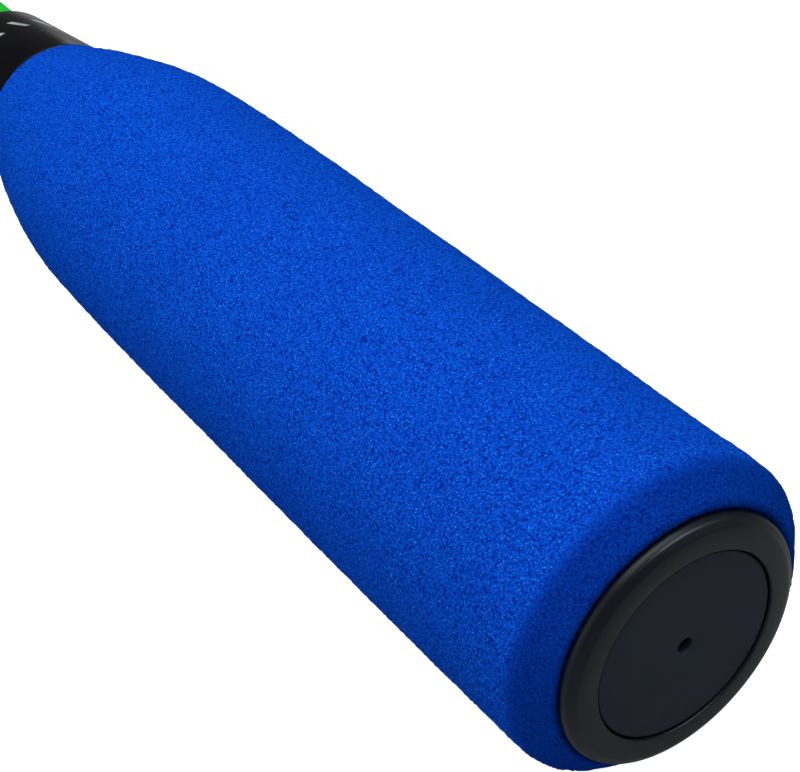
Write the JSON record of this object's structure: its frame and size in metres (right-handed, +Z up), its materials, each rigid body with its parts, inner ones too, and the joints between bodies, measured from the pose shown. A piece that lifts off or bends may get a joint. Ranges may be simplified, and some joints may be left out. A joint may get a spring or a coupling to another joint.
{
  "type": "swing trainer stick",
  "caption": "Weighted golf swing trainer: a thick blue foam barrel with a sliding inner weight, on a slim green tube with a rubber hand grip.",
  "frame": {"origin": "on the ground that the lying stick rests on, under the middle of its extent along X", "axes": "+X runs along the lying stick from its foam barrel to its grip, in plan; +Z is up; +Y completes the right-handed frame. The stick's own axis leans 1.15 degrees down from +X towards the grip"},
  "size_m": [0.9006, 0.0646, 0.0669],
  "materials": {
    "blue_foam": "matte closed-cell foam with a fine grain",
    "black_abs": "satin moulded plastic",
    "black_disc": "matte moulded plastic",
    "black_collar": "satin plastic with a light printed band of plain chevrons",
    "green_tube": "glossy",
    "grey_core": "extruded plastic",
    "nylon": "natural nylon",
    "steel": "turned, zinc-plated",
    "nickel": "nickel-plated",
    "seal_rubber": "matte",
    "pad_rubber": "matte red rubber",
    "grip_rubber": "textured"
  },
  "bodies": {
    "stick": {"foam_sleeve": "blue_foam", "core_tube": "grey_core", "end_ring": "black_abs", "collar": "black_collar", "collar_seal": "seal_rubber", "shaft_tube": "green_tube", "tube_bush": "nylon", "lock_pin": "steel", "magnet_holder": "nylon", "magnet": "nickel", "magnet_screw": "steel", "grip_ring": "black_abs", "grip": "grip_rubber", "butt_plug": "nylon", "butt_cap": "black_abs", "butt_screw": "steel"},
    "click_weight": {"weight_core": "steel", "front_glide": "nylon", "rear_glide": "nylon", "keeper_plate": "nickel", "nose_screw": "steel", "keeper_screw": "steel"},
    "end_closure": {"end_plug": "black_disc", "plug_seal": "seal_rubber", "strike_pad": "pad_rubber"}
  },
  "joints": [
    {"name": "click_slide", "type": "slide", "parent": "stick", "child": "click_weight", "axis": [-0.9998, 0, 0.02], "range_m": [0, 0.072]},
    {"name": "plug_pull", "type": "slide", "parent": "stick", "child": "end_closure", "axis": [-0.9998, 0, 0.02], "range_m": [0, 0.03]}
  ]
}
